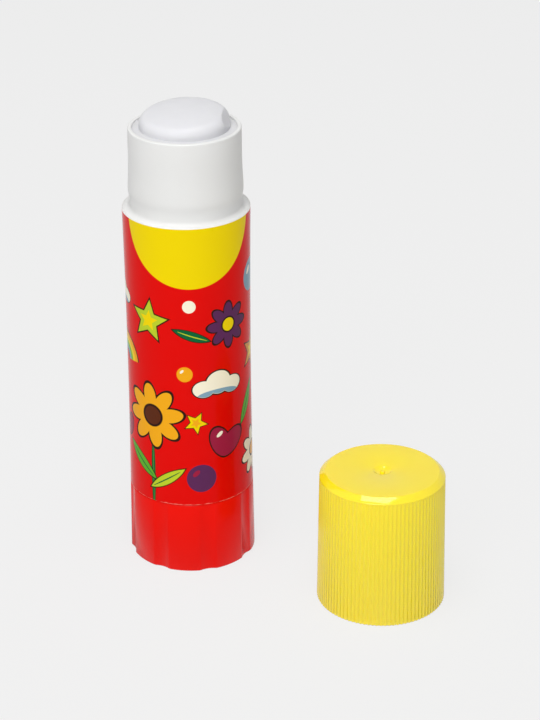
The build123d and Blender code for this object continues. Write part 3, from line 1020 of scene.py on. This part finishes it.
picture = [
    ("leaf", -8.2, 22.5, 1.1, 9.5, 0, DARK_GREEN, GREEN),
    ("leaf", -11.6, 24.5, 3.0, 5.2, 52, GREEN, DARK_GREEN),
    ("leaf", -4.9, 21.8, 2.8, 4.8, -56, LIME, DARK_GREEN),
    ("daisy", -8.2, 36.0, 7.2, 7.2, 8, ORANGE, BROWN),
    ("star", -8.6, 57.6, 4.7, 4.7, 12, LIME, YELLOW),
    ("ball", 0.6, 61.6, 1.4, 1.4, 0, CREAM, CREAM),
    ("daisy", 9.4, 56.4, 5.0, 5.0, 0, PURPLE, YELLOW),
    ("leaf", 1.0, 55.0, 2.4, 4.2, 70, DARK_GREEN, LIME),
    ("cloud", 6.8, 43.4, 5.8, 5.2, 0, CREAM, BLUE),
    ("heart", 8.4, 29.8, 4.4, 4.4, -12, MAGENTA, CREAM),
    ("ball", -0.6, 46.4, 1.7, 1.7, 0, ORANGE, CREAM),
    ("star", 1.6, 35.2, 2.5, 2.5, -10, YELLOW, ORANGE),
    ("ball", 2.6, 22.2, 3.2, 3.2, 0, PURPLE, MAGENTA),
    ("rainbow", -18.2, 46.0, 6.0, 6.0, 8, ORANGE, BLUE),
    ("cloud", -19.4, 61.0, 4.6, 4.2, 0, CREAM, BLUE),
    ("heart", -17.8, 30.6, 3.2, 3.2, 14, MAGENTA, CREAM),
    ("daisy", 18.6, 24.2, 5.4, 5.4, 10, CREAM, ORANGE),
    ("leaf", 15.4, 36.6, 2.8, 5.0, -30, GREEN, DARK_GREEN),
    ("star", 18.4, 47.4, 4.2, 4.2, 0, TAN, YELLOW),
    ("ball", 18.2, 64.6, 3.6, 3.6, 0, BLUE, CREAM),
    ("daisy", -29.0, 53.0, 7.0, 7.0, 0, CREAM, YELLOW),
    ("leaf", -26.4, 37.0, 3.4, 6.2, 24, DARK_GREEN, LIME),
    ("star", -31.0, 26.0, 5.0, 5.0, 20, ORANGE, YELLOW),
    ("ball", -36.6, 66.6, 3.4, 3.4, 0, PURPLE, CREAM),
    ("cloud", -37.0, 38.6, 3.9, 3.6, 0, CREAM, BLUE),
    ("rainbow", 30.4, 50.0, 7.2, 7.2, -6, ORANGE, PURPLE),
    ("daisy", 31.0, 33.6, 6.4, 6.4, 12, YELLOW, BROWN),
    ("leaf", 31.0, 21.6, 2.2, 5.4, 4, GREEN, DARK_GREEN),
    ("heart", 28.2, 68.0, 4.4, 4.4, 8, MAGENTA, CREAM),
    ("star", 38.0, 62.6, 3.0, 3.0, 0, LIME, YELLOW),
    ("ball", 37.6, 24.6, 2.6, 2.6, 0, DARK_GREEN, LIME),
]
print("the picture has", len(picture), "motifs")

# %% The printed film
red = add(tree, "ShaderNodeRGB")
red.outputs[0].default_value = linear(RED)
colour = red.outputs[0]
for kind, x, z, wide, high, turn, main, second in picture:
    printed = add(
        tree, "ShaderNodeGroup",
        {"node_tree": motifs[kind], "Main": linear(main), "Second": linear(second)},
        {"Under": colour, "Place": set_out(tree, unrolled, (x, z), (wide, high), turn)},
    )
    colour = printed.outputs[0]
print("the label's material has", len(tree.nodes), "nodes so far")

# %% The yellow half disc, and the film's two edges
# Along the top the white film shows past the ink. Along the foot a broken pale line is painted on: partly
# the film's bare cut edge, partly a painted glint of light.
disc_centre = (1.0, 80.4)
disc_radius = 14.9
bare_edge = 0.1
foot_glint_band = 0.34
glint_break_scale = 0.9
glint_break_depth = 0.5
disc = oval(tree, unrolled, disc_centre, (disc_radius, disc_radius))
colour = ink(tree, colour, disc, linear(YELLOW), crisp=120.0)
below_top = add(tree, "ShaderNodeMath", {"operation": "SUBTRACT", 0: label_high.z}, {1: up.outputs[0]})
colour = ink(tree, colour, below_top.outputs[0], linear("#F1EFEC"), reach=bare_edge, crisp=12.0)
above_foot = add(tree, "ShaderNodeMath", {"operation": "SUBTRACT", 1: label_low.z}, {0: up.outputs[0]})
glint_breaks = add(tree, "ShaderNodeTexNoise", {"Scale": glint_break_scale, "Detail": 1.0}, {"Vector": unrolled})
broken_glint_band = add(
    tree, "ShaderNodeMath", {"operation": "MULTIPLY_ADD", 1: glint_break_depth},
    {0: glint_breaks.outputs["Fac"], 2: above_foot.outputs[0]},
)
# Painted glint: a pale line along the label's foot, broken by noise, partly the film's bare edge and partly
# painted light.
colour = ink(tree, colour, broken_glint_band.outputs[0], linear("#EE7468"), reach=foot_glint_band, crisp=12.0)
tree.links.new(colour, shader.inputs["Base Color"])
print("the half disc reaches down to", disc_centre[1] - disc_radius, "mm")

# %% [markdown]
# ## Studio
# The photograph was taken on a pale ground under large soft lights, with the camera looking down by about
# 25 degrees. Here the floor is pale, one soft light hangs overhead, another shines from the front, and the
# grey sky round them fills the shadows. The white of a studio could be made by lighting the paper until it
# burns out, but then the object burns out too, so the camera is shown the paper's colour instead.

# %% What the camera sees behind the object
PAPER = "#F1F1F1"


def seen_directly(tree):
    """1 where a ray comes from the camera, or from it by way of gloss or glass."""
    rays = add(tree, "ShaderNodeLightPath").outputs
    links = {0: rays["Is Camera Ray"], 1: rays["Is Glossy Ray"]}
    gloss = add(tree, "ShaderNodeMath", {"operation": "MAXIMUM"}, links)
    links = {0: gloss.outputs[0], 1: rays["Is Transmission Ray"]}
    return add(tree, "ShaderNodeMath", {"operation": "MAXIMUM"}, links).outputs[0]


# %% The floor
bpy.ops.object.select_all(action="DESELECT")
bpy.ops.mesh.primitive_plane_add(size=6.0, location=(0, 0, 0))
floor = bpy.context.object
floor.name = "studio_floor"
bpy.ops.object.transform_apply(location=True, rotation=True, scale=True)
tree, paper = new_material("studio_paper", {"Roughness": 0.9, "Specular IOR Level": 0.0}, floor)
paper.inputs["Base Color"].default_value = linear("#ECECEC")
glow = add(tree, "ShaderNodeEmission", {"Color": linear(PAPER), "Strength": 1.0})
shadow_share = 0.12
mostly_glow = add(
    tree, "ShaderNodeMixShader", {0: 1 - shadow_share}, {1: paper.outputs[0], 2: glow.outputs[0]},
)
both = add(
    tree, "ShaderNodeMixShader",
    links={0: seen_directly(tree), 1: paper.outputs[0], 2: mostly_glow.outputs[0]},
)
tree.links.new(both.outputs[0], tree.nodes["Material Output"].inputs["Surface"])

# %% The sky
sky_light = 0.22
world = bpy.data.worlds.new("studio_sky")
bpy.context.scene.world = world
world.use_nodes = True
sky = world.node_tree
sky.nodes.clear()
shown = add(sky, "ShaderNodeBackground", {"Color": linear(PAPER), "Strength": 1.0})
light = add(sky, "ShaderNodeBackground", {"Color": (1, 1, 1, 1), "Strength": sky_light})
mixed = add(
    sky, "ShaderNodeMixShader",
    links={0: seen_directly(sky), 1: light.outputs[0], 2: shown.outputs[0]},
)
add(sky, "ShaderNodeOutputWorld", links={"Surface": mixed.outputs[0]})
print("the sky lights the object with", sky_light)

# %% The lights
AIM = Vector((0.02, -0.01, 0.05))  # between the stick and the cap, in metres


def soft_light(name, azimuth, elevation, distance, wide, high, power):
    """A rectangular soft light that looks at the object, placed by its direction from it."""
    turn = radians(azimuth)
    lift = radians(elevation)
    away = Vector((sin(turn) * cos(lift), -cos(turn) * cos(lift), sin(lift)))
    lamp = bpy.data.lights.new(name, "AREA")
    lamp.shape = "RECTANGLE"
    lamp.size = wide
    lamp.size_y = high
    lamp.energy = power
    stand = bpy.data.objects.new(name, lamp)
    bpy.context.scene.collection.objects.link(stand)
    stand.location = AIM + away * distance
    stand.rotation_euler = away.to_track_quat("Z", "Y").to_euler()
    print(name, "hangs at", [round(side, 2) for side in stand.location])


soft_light("overhead_softbox", azimuth=-20, elevation=78, distance=1.05, wide=0.67, high=0.6, power=6.8)
soft_light("front_fill", azimuth=-12, elevation=32, distance=1.3, wide=1.0, high=0.8, power=9.0)

# %% [markdown]
# ## Camera
# The camera's place was solved from the edges of the stick and the cap in the photograph, which is surer
# than moving it by eye. The lens is long, so upright edges stay almost parallel. It looks down by about
# 25 degrees and is rolled by a third of a degree.

# %% The camera
camera_place = (16.994, -453.482, 257.425)
camera_tilt = 64.75  # degrees from looking straight down
camera_roll = -0.0056  # radians
camera = bpy.data.objects.new("camera", bpy.data.cameras.new("camera"))
bpy.context.scene.collection.objects.link(camera)
camera.data.lens = 118.8
camera.data.sensor_width = 36.0
camera.data.clip_start = 0.01
camera.data.clip_end = 20.0
camera.matrix_world = (
    Matrix.Translation(Vector(camera_place) * MM)
    @ Matrix.Rotation(radians(camera_tilt), 4, "X")
    @ Matrix.Rotation(camera_roll, 4, "Z")
)
bpy.context.scene.camera = camera
bpy.context.scene.view_settings.view_transform = "Standard"
print("the camera is", round(Vector(camera_place).length), "mm from the stick's foot")
